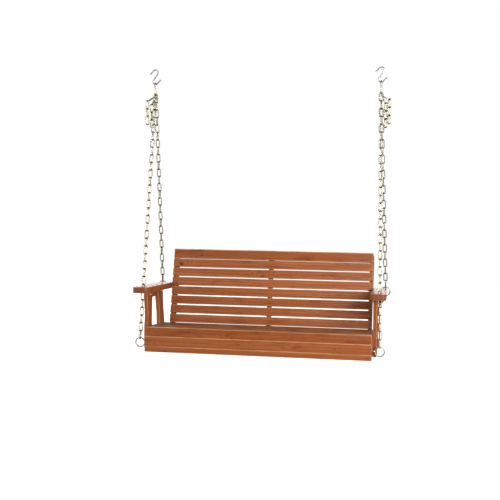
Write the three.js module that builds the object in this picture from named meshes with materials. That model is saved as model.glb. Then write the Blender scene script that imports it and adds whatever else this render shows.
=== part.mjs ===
// A two-seat slatted wooden porch swing: bench, four chains, two top links and two S-hooks.
// Millimetres, +X to the right of someone facing the seat, +Y towards the back, +Z up. The origin is midway
// between the two S-hooks' bearing points, where the swing hangs.
import * as THREE from "three";

// Driving dimensions. The bench has a frame of its own, with its origin at the middle of the
// apron's lower front edge.
const CLEARANCE = 0.3;
const SEAT_WIDTH = 1200;
const BENCH_FRAME_THICKNESS = 28;

const APRON_THICKNESS = 20;
const APRON_BOARDS = { bottom: 29.5, middle: 53, top: 49.5 };
const APRON_GAP = 0.5;
const APRON_HEIGHT = 133;

const SEAT_SLATS = 7;
const SEAT_SLAT_WIDTH = 46;
const SEAT_SLAT_GAP = 7;
const SLAT_THICKNESS = 20;
const SEAT_FRONT_Y = 23;
const SEAT_SLOPE = radians(6.1);

const BACK_SLATS = 8;
const BACK_WIDTH = 1140;
const BACK_LEAN = radians(16.7);
const BACK_FOOT_Y = 388;
const BACK_FOOT_Z = 95;
const BACK_FIRST_SLAT = 3;
const BACK_SLAT_WIDTH = 45;
const BACK_SLAT_GAP = 8.45;
const TOP_SLAT_WIDTH = 54;
const TOP_SLAT_GAP = 4.5;

const UPRIGHT_THICKNESS = 20;
const UPRIGHT_DEPTH = 55;
const UPRIGHT_TOP = 418;
const UPRIGHT_CHAMFER = 18;
const FRAME_BOTTOM_Z = 14;
const SIDE_OUTER_X = 600;
const CENTRE_BEARER_X = 3.3;

const ARM_THICKNESS = 32;
const ARM_SLOPE = radians(3.65);
const ARM_FRONT_Y = 12;
const ARM_FRONT_Z = 342.3;
const ARM_LENGTH = 467;
const ARM_INNER_FRONT_X = 586;
const ARM_INNER_REAR_X = 573;
const ARM_OUTER_FRONT_X = 669;
const ARM_OUTER_REAR_X = 650;
const ARM_NOSE_RADIUS = 22;
const CHAIN_HOLE_X = 632;
const CHAIN_HOLE_Y = 90;
const CHAIN_HOLE_RADIUS = 16;

// A post's front and rear edges, each with its y at the bottom, at the waist and at the top.
const POST_THICKNESS = 20;
const POST_BOTTOM_Z = 8;
const POST_FOOT_TOP_Z = 113;
const POST_WAIST_RISE = 20;
const POST_HEAD = 30;
const FRONT_POST = { front: [62, 76, 64], rear: [146, 147, 158] };
const REAR_POST = { front: [299, 295, 273], rear: [391, 377, 367] };
const ARM_RAIL_HEIGHT = 36;
const ARM_RAIL_THICKNESS = 18;
const ARM_RAIL_FRONT_Y = 146;
const ARM_RAIL_REAR_Y = 440;
const ARM_RAIL_CHAMFER = 10;

// An eye's ring starts at an angle counted from +X about its own centre, where the bend meets it.
const EYE_WIRE = 6.8;
const EYE_RING_RADIUS = 24.3;
const EYE_BEND_RADIUS = 9;
const EYE_START = radians(190);
const EYE_SWEEP = radians(328);
const EYE_BEND = radians(80);
const BOLT_HOLE_ROOM = 0.5;
const EYE_FRONT = { x: 638, y: 49, z: 41, shankEnd: 558, inner: 570.3, outer: null };
const EYE_REAR = { x: 641, y: 505, z: 291, shankEnd: 538, inner: 551.7, outer: 571.7 };
const NUT_ACROSS_FLATS = 11;
const NUT_HEIGHT = 5.5;
const WASHER_RADIUS = 9;
const WASHER_THICKNESS = 1.6;

const HOOK_X = 611;
const HOOK_WIRE = 7;
const HOOK_BEND_RADIUS = 14;
const HOOK_CENTRES = 50;
const HOOK_LEG = 28;
const HOOK_LEG_ANGLE = radians(45);
const HANG_Z = 1498;
const HANG_Y = 278.6;

const LINK_WIRE = 7;
const LINK_ARCH_RADIUS = 13.5;
const LINK_LENGTH = 68.5;

// A chain is a bar here, and stops short of the wires at its ends. Each tail's top hangs beside the top
// link: x outwards and y back from its middle, and a drop below its lower end.
const CHAIN_RADIUS = 5;
const CHAIN_SIDES = 8;
const CHAIN_SPREAD = 6;
const CHAIN_ROOM_AT_EYE = 1.8;
const CHAIN_ROOM_AT_LINK = 2.8;
const TAIL_LENGTH = 136;
const TAIL_FRONT = { x: 44, y: -12, drop: 25 };
const TAIL_REAR = { x: 25, y: 10, drop: 43 };

const WIRE_SIDES = 8;
const ROUND_SEGMENTS = 8;
const POST_EDGE_STEPS = 12;
const EYE_WIRE_STEPS = 48;
const HOOK_WIRE_STEPS = 44;
const TURNED_SIDES = 16;

const WOOD = new THREE.MeshStandardMaterial({ color: 0x9c5a32, roughness: 0.5, metalness: 0 });
const ZINC = new THREE.MeshStandardMaterial({ color: 0xc9bf8a, roughness: 0.35, metalness: 1 });
const STEEL = new THREE.MeshStandardMaterial({ color: 0xc4c7ca, roughness: 0.3, metalness: 1 });

// Places worked out from the dimensions above.
const SIDE_INNER_X = SIDE_OUTER_X - BENCH_FRAME_THICKNESS;
const SEAT_UNDERSIDE = SLAT_THICKNESS + CLEARANCE;
const UPRIGHT_FRONT = SLAT_THICKNESS + CLEARANCE;
const UPRIGHT_BACK = UPRIGHT_FRONT + UPRIGHT_DEPTH;
const HOOK_TOP_WIRE_Z = HANG_Z + HOOK_WIRE / 2;
const HOOK_TOP_CENTRE_Z = HOOK_TOP_WIRE_Z - HOOK_BEND_RADIUS;
const HOOK_LOW_CENTRE_Z = HOOK_TOP_CENTRE_Z - HOOK_CENTRES;
const HOOK_LOW_WIRE_Z = HOOK_LOW_CENTRE_Z - HOOK_BEND_RADIUS;
const LINK_TOP_Z = HOOK_LOW_WIRE_Z + HOOK_WIRE / 2 + LINK_WIRE / 2 + CLEARANCE;
const LINK_BOTTOM_Z = LINK_TOP_Z - LINK_LENGTH;
const EYE_SHANK_RISE =
  EYE_RING_RADIUS * Math.sin(EYE_START) + EYE_BEND_RADIUS * (1 - Math.cos(EYE_BEND));
const BOLT_HOLE_RADIUS = EYE_WIRE / 2 + BOLT_HOLE_ROOM;

function radians(degrees) {
  return (degrees * Math.PI) / 180;
}

// Makes a named mesh in a group.
function piece(group, name, geometry, material) {
  const mesh = new THREE.Mesh(geometry, material);
  mesh.name = name;
  group.add(mesh);
}

function polygon(points) {
  return new THREE.Shape(points.map(([x, y]) => new THREE.Vector2(x, y)));
}

// Extrudes a (Y, Z) outline along X, from fromX to toX, with round holes through it.
function boardAlongX(outline, fromX, toX, holes = []) {
  const shape = polygon(outline);
  for (const { y, z, radius } of holes) {
    const hole = new THREE.Path();
    hole.absarc(y, z, radius, 0, 2 * Math.PI, true);
    shape.holes.push(hole);
  }
  const options = { depth: toX - fromX, bevelEnabled: false, curveSegments: ROUND_SEGMENTS };
  const turned = new THREE.Matrix4().set(0, 0, 1, fromX, 1, 0, 0, 0, 0, 1, 0, 0, 0, 0, 0, 1);
  return new THREE.ExtrudeGeometry(shape, options).applyMatrix4(turned);
}

function box(fromX, toX, fromY, toY, fromZ, toZ) {
  const geometry = new THREE.BoxGeometry(toX - fromX, toY - fromY, toZ - fromZ);
  return geometry.translate((fromX + toX) / 2, (fromY + toY) / 2, (fromZ + toZ) / 2);
}

// A round wire bent along a smooth curve through the given points. A full circle gets two sides for
// each of its curve segments.
function bentWire(points, diameter, steps) {
  const curve = new THREE.CatmullRomCurve3(points, false, "centripetal");
  const section = new THREE.Shape();
  section.absarc(0, 0, diameter / 2, 0, 2 * Math.PI);
  return new THREE.ExtrudeGeometry(section, {
    steps,
    extrudePath: curve,
    curveSegments: WIRE_SIDES / 2,
    bevelEnabled: false,
  });
}

// Mirrors a geometry in the plane X = 0 and keeps its faces pointing out.
function mirrored(geometry) {
  const flat = geometry.index ? geometry.toNonIndexed() : geometry.clone();
  flat.scale(-1, 1, 1);
  for (const attribute of Object.values(flat.attributes)) {
    const size = attribute.itemSize;
    const values = attribute.array;
    for (let i = 0; i < attribute.count; i += 3)
      for (let k = 0; k < size; k++) {
        const second = (i + 1) * size + k;
        const third = (i + 2) * size + k;
        [values[second], values[third]] = [values[third], values[second]];
      }
  }
  return flat;
}

// Makes the right-hand piece as given and the left-hand piece as its mirror image.
function pair(group, name, geometry, material) {
  piece(group, `${name}_right`, geometry, material);
  piece(group, `${name}_left`, mirrored(geometry), material);
}

// Height of the seat slats' underside at a distance y from the apron's face.
function seatUndersideZ(y) {
  return APRON_HEIGHT - (y - SEAT_FRONT_Y) * Math.tan(SEAT_SLOPE) - SEAT_UNDERSIDE / Math.cos(SEAT_SLOPE);
}

// The y at height z of a plane that lies a given distance behind the back slats' front faces.
function behindBackY(distance, z) {
  return BACK_FOOT_Y + (distance + (z - BACK_FOOT_Z) * Math.sin(BACK_LEAN)) / Math.cos(BACK_LEAN);
}

// The apron: three boards on edge across the front.
function apron(bench) {
  let bottom = 0;
  for (const [name, height] of Object.entries(APRON_BOARDS)) {
    const half = SEAT_WIDTH / 2;
    piece(bench, `apron_board_${name}`, box(-half, half, 0, APRON_THICKNESS, bottom, bottom + height), WOOD);
    bottom += height + APRON_GAP;
  }
}

// The outline of the boards that carry the seat slats, from the apron to the uprights' rear faces.
// The two slopes meet where seatUndersideZ and behindBackY agree.
function bearerOutline() {
  const front = APRON_THICKNESS + CLEARANCE;
  const rearBottomY = behindBackY(UPRIGHT_BACK, FRAME_BOTTOM_Z);
  const fall = Math.tan(SEAT_SLOPE) * Math.tan(BACK_LEAN);
  const levelY = behindBackY(UPRIGHT_BACK, seatUndersideZ(0));
  const rearTopY = levelY / (1 + fall);
  return [
    [front, FRAME_BOTTOM_Z],
    [rearBottomY, FRAME_BOTTOM_Z],
    [rearTopY, seatUndersideZ(rearTopY)],
    [front, seatUndersideZ(front)],
  ];
}

function seatFrame(bench) {
  const outline = bearerOutline();
  const boltHole = { y: EYE_FRONT.y, z: EYE_FRONT.z + EYE_SHANK_RISE, radius: BOLT_HOLE_RADIUS };
  pair(bench, "side_board", boardAlongX(outline, SIDE_INNER_X, SIDE_OUTER_X, [boltHole]), WOOD);
  const bearer = boardAlongX(outline, CENTRE_BEARER_X, CENTRE_BEARER_X + BENCH_FRAME_THICKNESS);
  piece(bench, "centre_bearer", bearer, WOOD);
}

function seatSlats(bench) {
  const seat = new THREE.Group();
  seat.position.set(0, SEAT_FRONT_Y, APRON_HEIGHT);
  seat.rotation.x = -SEAT_SLOPE;
  bench.add(seat);
  for (let i = 0; i < SEAT_SLATS; i++) {
    const front = i * (SEAT_SLAT_WIDTH + SEAT_SLAT_GAP);
    const half = SEAT_WIDTH / 2;
    const slat = box(-half, half, front, front + SEAT_SLAT_WIDTH, -SLAT_THICKNESS, 0);
    piece(seat, `seat_slat_${i + 1}`, slat, WOOD);
  }
}

// The back leans: in its own group, Z runs up the slope and Y is the distance behind the front faces.
function back(bench) {
  const lean = new THREE.Group();
  lean.position.set(0, BACK_FOOT_Y, BACK_FOOT_Z);
  lean.rotation.x = -BACK_LEAN;
  bench.add(lean);

  let bottom = BACK_FIRST_SLAT;
  for (let i = 1; i <= BACK_SLATS; i++) {
    const top = i === BACK_SLATS;
    const width = top ? TOP_SLAT_WIDTH : BACK_SLAT_WIDTH;
    const half = BACK_WIDTH / 2;
    piece(lean, `back_slat_${i}`, box(-half, half, 0, SLAT_THICKNESS, bottom, bottom + width), WOOD);
    bottom += width + (i === BACK_SLATS - 1 ? TOP_SLAT_GAP : BACK_SLAT_GAP);
  }

  const outline = [
    [UPRIGHT_FRONT, slopeAt(UPRIGHT_FRONT, FRAME_BOTTOM_Z)],
    [UPRIGHT_BACK, slopeAt(UPRIGHT_BACK, FRAME_BOTTOM_Z)],
    [UPRIGHT_BACK, UPRIGHT_TOP - UPRIGHT_CHAMFER],
    [UPRIGHT_BACK - UPRIGHT_CHAMFER, UPRIGHT_TOP],
    [UPRIGHT_FRONT, UPRIGHT_TOP],
  ];
  const eyeHole = { ...slopePoint(EYE_REAR.y, EYE_REAR.z + EYE_SHANK_RISE), radius: BOLT_HOLE_RADIUS };
  const outerX = SIDE_INNER_X - CLEARANCE;
  pair(lean, "back_upright", boardAlongX(outline, outerX - UPRIGHT_THICKNESS, outerX, [eyeHole]), WOOD);
  const centreX = CENTRE_BEARER_X - CLEARANCE;
  piece(lean, "back_upright_centre", boardAlongX(outline, centreX - UPRIGHT_THICKNESS, centreX), WOOD);
}

// The bench point (y, z) in the leaning back's own frame.
function slopePoint(y, z) {
  const dy = y - BACK_FOOT_Y;
  const dz = z - BACK_FOOT_Z;
  return {
    y: dy * Math.cos(BACK_LEAN) - dz * Math.sin(BACK_LEAN),
    z: dy * Math.sin(BACK_LEAN) + dz * Math.cos(BACK_LEAN),
  };
}

// How far up the slope a plane at the given distance behind the slats reaches bench height z.
function slopeAt(distance, z) {
  return (z - BACK_FOOT_Z + distance * Math.sin(BACK_LEAN)) / Math.cos(BACK_LEAN);
}

// Height of the arm's underside at y.
function armUndersideZ(y) {
  return ARM_FRONT_Z - (y - ARM_FRONT_Y) * Math.tan(ARM_SLOPE) - ARM_THICKNESS / Math.cos(ARM_SLOPE);
}

// An arm in plan, with its nose rounded at both corners and a hole for the front chain.
function armGeometry() {
  const r = ARM_NOSE_RADIUS;
  const shape = new THREE.Shape();
  shape.moveTo(ARM_INNER_REAR_X, ARM_LENGTH);
  shape.lineTo(ARM_INNER_FRONT_X, r);
  shape.absarc(ARM_INNER_FRONT_X + r, r, r, Math.PI, 1.5 * Math.PI);
  shape.lineTo(ARM_OUTER_FRONT_X - r, 0);
  shape.absarc(ARM_OUTER_FRONT_X - r, r, r, -0.5 * Math.PI, 0);
  shape.lineTo(ARM_OUTER_REAR_X, ARM_LENGTH);
  shape.closePath();
  const hole = new THREE.Path();
  const holeY = (CHAIN_HOLE_Y - ARM_FRONT_Y) / Math.cos(ARM_SLOPE);
  hole.absarc(CHAIN_HOLE_X, holeY, CHAIN_HOLE_RADIUS, 0, 2 * Math.PI, true);
  shape.holes.push(hole);
  const options = { depth: ARM_THICKNESS, bevelEnabled: false, curveSegments: ROUND_SEGMENTS };
  const geometry = new THREE.ExtrudeGeometry(shape, options).translate(0, 0, -ARM_THICKNESS);
  return geometry.rotateX(-ARM_SLOPE).translate(0, ARM_FRONT_Y, ARM_FRONT_Z);
}

// A post's outline in (Y, Z): each edge is a smooth curve through its bottom, waist and top.
function postOutline({ front, rear }) {
  const edge = ([bottom, waist, top]) => {
    const topZ = armUndersideZ(top) - CLEARANCE;
    const waistZ = (POST_BOTTOM_Z + topZ) / 2 + POST_WAIST_RISE;
    const points = [
      new THREE.Vector2(bottom, POST_BOTTOM_Z),
      new THREE.Vector2(bottom, POST_FOOT_TOP_Z),
      new THREE.Vector2(waist, waistZ),
      new THREE.Vector2(top, topZ - POST_HEAD),
      new THREE.Vector2(top, topZ),
    ];
    return new THREE.SplineCurve(points).getPoints(POST_EDGE_STEPS).map((p) => [p.x, p.y]);
  };
  return [...edge(rear), ...edge(front).reverse()];
}

function arms(bench) {
  pair(bench, "arm", armGeometry(), WOOD);
  const innerX = SIDE_OUTER_X + CLEARANCE;
  const outerX = innerX + POST_THICKNESS;
  pair(bench, "arm_post_front", boardAlongX(postOutline(FRONT_POST), innerX, outerX), WOOD);
  pair(bench, "arm_post_rear", boardAlongX(postOutline(REAR_POST), innerX, outerX), WOOD);
  pair(bench, "arm_rail", armRail(outerX + CLEARANCE), WOOD);
}

// The rail outside the posts, close under the arm, with its front lower corner cut off.
function armRail(fromX) {
  const top = (y) => armUndersideZ(y) - CLEARANCE;
  const outline = [
    [ARM_RAIL_FRONT_Y, top(ARM_RAIL_FRONT_Y)],
    [ARM_RAIL_FRONT_Y, top(ARM_RAIL_FRONT_Y) - ARM_RAIL_HEIGHT + ARM_RAIL_CHAMFER],
    [ARM_RAIL_FRONT_Y + ARM_RAIL_CHAMFER, top(ARM_RAIL_FRONT_Y) - ARM_RAIL_HEIGHT],
    [ARM_RAIL_REAR_Y, top(ARM_RAIL_REAR_Y) - ARM_RAIL_HEIGHT],
    [ARM_RAIL_REAR_Y, top(ARM_RAIL_REAR_Y)],
  ];
  return boardAlongX(outline, fromX, fromX + ARM_RAIL_THICKNESS);
}

// An eye bolt bent from one wire: a straight shank along X that turns down into the ring.
function eyeBolt({ x, y, z, shankEnd }) {
  const shankSteps = 6;
  const bendSteps = 4;
  const ringSteps = 24;
  const points = [];
  const joinX = x + EYE_RING_RADIUS * Math.cos(EYE_START);
  const bendX = joinX - EYE_BEND_RADIUS * Math.sin(EYE_BEND);
  const shankZ = z + EYE_SHANK_RISE;
  for (let i = 0; i <= shankSteps; i++) {
    const along = shankEnd + ((bendX - shankEnd) * i) / shankSteps;
    points.push(new THREE.Vector3(along, y, shankZ));
  }
  for (let i = 1; i < bendSteps; i++) {
    const a = (EYE_BEND * i) / bendSteps;
    const dx = EYE_BEND_RADIUS * Math.sin(a);
    const dz = EYE_BEND_RADIUS * (1 - Math.cos(a));
    points.push(new THREE.Vector3(bendX + dx, y, shankZ - dz));
  }
  for (let i = 0; i <= ringSteps; i++) {
    const a = EYE_START + (EYE_SWEEP * i) / ringSteps;
    const dx = EYE_RING_RADIUS * Math.cos(a);
    const dz = EYE_RING_RADIUS * Math.sin(a);
    points.push(new THREE.Vector3(x + dx, y, z + dz));
  }
  return bentWire(points, EYE_WIRE, EYE_WIRE_STEPS);
}

// A hexagon nut with its bore along X, its inner face at x.
function nut(x, y, z) {
  const shape = new THREE.Shape();
  const corner = NUT_ACROSS_FLATS / Math.sqrt(3);
  for (let i = 0; i < 6; i++) {
    const a = (i * Math.PI) / 3;
    if (i === 0) shape.moveTo(corner, 0);
    else shape.lineTo(corner * Math.cos(a), corner * Math.sin(a));
  }
  shape.closePath();
  const bore = new THREE.Path();
  bore.absarc(0, 0, EYE_WIRE / 2 + CLEARANCE, 0, 2 * Math.PI, true);
  shape.holes.push(bore);
  const options = { depth: NUT_HEIGHT, bevelEnabled: false, curveSegments: ROUND_SEGMENTS };
  return new THREE.ExtrudeGeometry(shape, options).rotateY(Math.PI / 2).translate(x, y, z);
}

function washer(x, y, z) {
  const inner = EYE_WIRE / 2 + CLEARANCE;
  const profile = [
    new THREE.Vector2(inner, 0),
    new THREE.Vector2(WASHER_RADIUS, 0),
    new THREE.Vector2(WASHER_RADIUS, WASHER_THICKNESS),
    new THREE.Vector2(inner, WASHER_THICKNESS),
    new THREE.Vector2(inner, 0),
  ];
  return new THREE.LatheGeometry(profile, TURNED_SIDES).rotateZ(-Math.PI / 2).translate(x, y, z);
}

function eyeBolts(bench) {
  for (const [name, eye] of Object.entries({ front: EYE_FRONT, rear: EYE_REAR })) {
    const z = eye.z + EYE_SHANK_RISE;
    const washerX = eye.inner - CLEARANCE - WASHER_THICKNESS;
    pair(bench, `eye_bolt_${name}`, eyeBolt(eye), ZINC);
    pair(bench, `washer_${name}`, washer(washerX, eye.y, z), ZINC);
    pair(bench, `nut_${name}`, nut(washerX - CLEARANCE - NUT_HEIGHT, eye.y, z), ZINC);
    if (eye.outer) pair(bench, "nut_rear_outer", nut(eye.outer + CLEARANCE, eye.y, z), ZINC);
  }
}

// An S-hook in the XZ plane at x: both bends are arcs of the same radius, joined by a diagonal
// that is tangent to both, and each ends in a straight leg.
function sHook(x) {
  const bendSteps = 10;
  const r = HOOK_BEND_RADIUS;
  const middle = (HOOK_TOP_CENTRE_Z + HOOK_LOW_CENTRE_Z) / 2;
  const half = HOOK_CENTRES / 2;
  const start = Math.PI / 2 + HOOK_LEG_ANGLE;
  const end = Math.acos(r / half) - Math.PI / 2;
  const legX = r * Math.cos(start);
  const legZ = half + r * Math.sin(start);
  const upper = [];
  for (const t of [HOOK_LEG, HOOK_LEG / 2]) {
    upper.push([legX - t * Math.cos(HOOK_LEG_ANGLE), legZ - t * Math.sin(HOOK_LEG_ANGLE)]);
  }
  for (let i = 0; i <= bendSteps; i++) {
    const a = start + ((end - start) * i) / bendSteps;
    upper.push([r * Math.cos(a), half + r * Math.sin(a)]);
  }
  const lower = upper.map(([px, pz]) => [-px, -pz]).reverse();
  const points = [...upper, ...lower].map(([px, pz]) => new THREE.Vector3(x + px, HANG_Y, middle + pz));
  return bentWire(points, HOOK_WIRE, HOOK_WIRE_STEPS);
}

// The large link that hangs on an S-hook and gathers the chains: a ring pulled apart, in the YZ plane.
function topLink(x) {
  const segments = 24;
  const geometry = new THREE.TorusGeometry(LINK_ARCH_RADIUS, LINK_WIRE / 2, WIRE_SIDES, segments);
  geometry.rotateZ(Math.PI / segments);
  const stretch = LINK_LENGTH / 2 - LINK_ARCH_RADIUS;
  const position = geometry.attributes.position;
  for (let i = 0; i < position.count; i++) {
    const section = i % (segments + 1);
    const above = section % segments < segments / 2;
    position.setY(i, position.getY(i) + (above ? stretch : -stretch));
  }
  geometry.rotateX(Math.PI / 2).rotateZ(Math.PI / 2);
  return geometry.translate(x, HANG_Y, (LINK_TOP_Z + LINK_BOTTOM_Z) / 2);
}

// A chain as the round bar that has the same weight, from one point to another.
function chainBar(from, to) {
  const along = new THREE.Vector3().subVectors(to, from);
  const middle = new THREE.Vector3().addVectors(from, to).multiplyScalar(0.5);
  const geometry = new THREE.CylinderGeometry(CHAIN_RADIUS, CHAIN_RADIUS, along.length(), CHAIN_SIDES);
  const turn = new THREE.Quaternion().setFromUnitVectors(new THREE.Vector3(0, 1, 0), along.normalize());
  return geometry.applyQuaternion(turn).translate(middle.x, middle.y, middle.z);
}

// The stretch from a ring's top to the top link's bottom, with room for the wire at each end.
function chain(eye, side) {
  const ringTop = new THREE.Vector3(eye.x, eye.y, eye.z + EYE_RING_RADIUS);
  const linkBottom = new THREE.Vector3(HOOK_X, HANG_Y + side * CHAIN_SPREAD, LINK_BOTTOM_Z);
  const along = new THREE.Vector3().subVectors(linkBottom, ringTop).normalize();
  const from = ringTop.clone().addScaledVector(along, EYE_WIRE / 2 + CHAIN_ROOM_AT_EYE);
  const to = linkBottom.clone().addScaledVector(along, -LINK_WIRE / 2 - CHAIN_ROOM_AT_LINK);
  return chainBar(from, to);
}

// The spare links of each chain, which hang outside the top link.
function chainTail(offset) {
  const top = new THREE.Vector3(HOOK_X + offset.x, HANG_Y + offset.y, LINK_BOTTOM_Z - offset.drop);
  const end = new THREE.Vector3(top.x, top.y, top.z - TAIL_LENGTH);
  return chainBar(end, top);
}

function rigging(bench) {
  pair(bench, "chain_front", chain(EYE_FRONT, -1), ZINC);
  pair(bench, "chain_rear", chain(EYE_REAR, 1), ZINC);
  pair(bench, "chain_tail_front", chainTail(TAIL_FRONT), ZINC);
  pair(bench, "chain_tail_rear", chainTail(TAIL_REAR), ZINC);
  for (const [side, x] of [["right", HOOK_X], ["left", -HOOK_X]]) {
    piece(bench, `top_link_${side}`, topLink(x), STEEL);
    piece(bench, `s_hook_${side}`, sHook(x), STEEL);
  }
}

const swing = new THREE.Group();
const bench = new THREE.Group();
bench.position.set(0, -HANG_Y, -HANG_Z);
swing.add(bench);
apron(bench);
seatFrame(bench);
seatSlats(bench);
back(bench);
arms(bench);
eyeBolts(bench);
rigging(bench);

export default swing;
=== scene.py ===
# Looks of a two-seat slatted wooden porch swing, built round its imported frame.
# Metres. +X is to the right of someone facing the seat, +Y goes to the back and +Z up.
# The origin is where the two S-hooks hang.
import logging
import math
from collections.abc import Callable, Iterator, Sequence
from contextlib import contextmanager
from dataclasses import dataclass, field
from enum import Enum

import bmesh
import bpy
from mathutils import Matrix, Vector


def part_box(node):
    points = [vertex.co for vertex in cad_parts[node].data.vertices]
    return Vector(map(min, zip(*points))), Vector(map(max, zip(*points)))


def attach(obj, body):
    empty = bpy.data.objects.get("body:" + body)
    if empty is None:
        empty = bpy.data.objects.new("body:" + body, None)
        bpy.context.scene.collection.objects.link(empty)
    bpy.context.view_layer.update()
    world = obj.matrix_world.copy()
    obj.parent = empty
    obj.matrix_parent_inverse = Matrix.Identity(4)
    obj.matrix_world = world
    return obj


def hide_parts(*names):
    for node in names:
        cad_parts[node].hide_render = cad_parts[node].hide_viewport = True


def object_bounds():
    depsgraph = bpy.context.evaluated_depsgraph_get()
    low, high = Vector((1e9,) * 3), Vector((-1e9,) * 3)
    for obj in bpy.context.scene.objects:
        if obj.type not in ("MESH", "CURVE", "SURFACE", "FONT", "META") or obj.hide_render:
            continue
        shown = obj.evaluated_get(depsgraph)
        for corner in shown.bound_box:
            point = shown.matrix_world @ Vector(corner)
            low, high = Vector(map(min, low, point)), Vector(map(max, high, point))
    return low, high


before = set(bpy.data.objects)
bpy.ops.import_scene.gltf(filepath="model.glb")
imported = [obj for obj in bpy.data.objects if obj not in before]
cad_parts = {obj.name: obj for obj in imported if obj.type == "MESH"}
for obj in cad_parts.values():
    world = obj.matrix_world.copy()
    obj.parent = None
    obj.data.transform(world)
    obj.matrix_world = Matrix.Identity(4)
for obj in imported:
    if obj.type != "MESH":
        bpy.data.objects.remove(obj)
CAD_BOX = [list(corner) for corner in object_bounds()]

LOG = logging.getLogger("porch_swing")
X_AXIS = Vector((1, 0, 0))
Y_AXIS = Vector((0, 1, 0))
Z_AXIS = Vector((0, 0, 1))
BACK_LEAN = math.radians(16.7)
SEAT_SLOPE = math.radians(6.1)
ARM_SLOPE = math.radians(3.65)
WELD_GAP = 1e-5

SEED_STEP = (7.3, 1.37, 2.11)
# Lighter colour for eased board edges: partly rubbed wear, partly a painted highlight where the rounded
# edges catch light.
RUBBED_AND_HIGHLIT_EDGE = (0.80, 0.42, 0.22)
BUMP_STRENGTH = 0.6
PLATING_RELIEF = 0.00012
FLAT_ON = 0.9

Piece = bpy.types.Object
Socket = bpy.types.NodeSocket
Sockets = dict[str, Socket]
Triple = tuple[float, float, float]
Spots = list[tuple[Vector, Vector]]


class Slot(Enum):
    """The record's material slots."""

    WOOD = "wood"
    ZINC = "zinc_hardware"
    STEEL = "steel_hooks"


class Grain(Enum):
    """How a board's grain lies, as the turn that brings it along X."""

    ACROSS = (0.0, 0.0, 0.0)
    SLOPING_BACK = (ARM_SLOPE, 0.0, -math.pi / 2)
    LEVEL_BACK = (0.0, 0.0, -math.pi / 2)
    LEANING = (BACK_LEAN, math.pi / 2, 0.0)
    UPRIGHT = (0.0, math.pi / 2, 0.0)


# ------------------------------------------------------------------ shader work


class Shade:
    """Adds nodes to one node tree and joins them."""

    def __init__(self, tree: bpy.types.NodeTree) -> None:
        """Starts work on a tree.

        Args:
            tree: the node tree of a material, a group or the world.
        """
        self.tree = tree

    def add(self, kind: str, **settings: object) -> bpy.types.Node:
        """Adds a node.

        Args:
            kind: the node's type without its ShaderNode prefix.
            settings: attributes to set on it.

        Returns:
            The new node.
        """
        node = self.tree.nodes.new("ShaderNode" + kind)
        for name, value in settings.items():
            setattr(node, name, value)
        return node

    def feed(self, target: Socket, value: object) -> None:
        """Joins an output to an input, or sets the input to a plain value.

        Args:
            target: the input.
            value: an output socket, a number, a vector or a colour.
        """
        if isinstance(value, Socket):
            self.tree.links.new(value, target)
        elif target.type == "RGBA":
            target.default_value = (*value, 1.0)
        else:
            target.default_value = value

    def math(self, operation: str, first: object, second: object = 0.0) -> Socket:
        """Works out a number.

        Args:
            operation: a Math node's operation.
            first: the first value.
            second: the second value.

        Returns:
            The result.
        """
        node = self.add("Math", operation=operation)
        self.feed(node.inputs[0], first)
        self.feed(node.inputs[1], second)
        return node.outputs[0]

    def vector(self, operation: str, first: object, second: object) -> Socket:
        """Works out a vector.

        Args:
            operation: a Vector Math node's operation.
            first: the first vector.
            second: the second vector.

        Returns:
            The result.
        """
        node = self.add("VectorMath", operation=operation)
        self.feed(node.inputs[0], first)
        self.feed(node.inputs[1], second)
        return node.outputs["Value" if operation == "DOT_PRODUCT" else "Vector"]

    def noise(self, place: object, stretch: Sequence[float], detail: float = 3.0) -> Socket:
        """A noise value at a place.

        Args:
            place: the coordinates.
            stretch: how many times the noise repeats in a metre, on each axis.
            detail: how many finer layers it has.

        Returns:
            A value from 0 to 1, mostly near the middle.
        """
        node = self.add("TexNoise")
        self.feed(node.inputs["Vector"], self.vector("MULTIPLY", place, tuple(stretch)))
        node.inputs["Scale"].default_value = 1.0
        node.inputs["Detail"].default_value = detail
        return node.outputs["Fac"]

    def span(
        self, value: object, low: float, high: float, start: float = 0.0, end: float = 1.0
    ) -> Socket:
        """Maps a value from low to high onto start to end, eased and clamped.

        Args:
            value: what is mapped.
            low: the value that gives start.
            high: the value that gives end.
            start: the result at low.
            end: the result at high.

        Returns:
            The result.
        """
        node = self.add("MapRange", interpolation_type="SMOOTHSTEP")
        for number, given in enumerate((value, low, high, start, end)):
            self.feed(node.inputs[number], given)
        return node.outputs["Result"]

    def mix(self, share: object, first: object, second: object, blend: str = "MIX") -> Socket:
        """Mixes two colours.

        Args:
            share: how much of the second is used, from 0 to 1.
            first: the colour at 0.
            second: the colour at 1.
            blend: a Mix node's blend type.

        Returns:
            The mixed colour.
        """
        node = self.add("Mix", data_type="RGBA", blend_type=blend)
        inputs = [socket for socket in node.inputs if socket.type == "RGBA"]
        self.feed(node.inputs[0], share)
        self.feed(inputs[0], first)
        self.feed(inputs[1], second)
        return next(socket for socket in node.outputs if socket.type == "RGBA")


def shader_group(
    name: str, takes: dict[str, str], gives: dict[str, str]
) -> tuple[bpy.types.NodeTree, Shade, Sockets, Sockets]:
    """Starts a shader node group.

    Args:
        name: the group's name.
        takes: its inputs, each name with its socket's type.
        gives: its outputs, in the same way.

    Returns:
        The group, the means to add nodes to it, its inputs by name, and its outputs by name.
    """
    group = bpy.data.node_groups.new(name, "ShaderNodeTree")
    for title, kind in takes.items():
        group.interface.new_socket(name=title, in_out="INPUT", socket_type="NodeSocket" + kind)
    for title, kind in gives.items():
        group.interface.new_socket(name=title, in_out="OUTPUT", socket_type="NodeSocket" + kind)
    entry = group.nodes.new("NodeGroupInput")
    leave = group.nodes.new("NodeGroupOutput")
    inputs = {title: entry.outputs[title] for title in takes}
    outputs = {title: leave.inputs[title] for title in gives}
    return group, Shade(group), inputs, outputs


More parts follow.
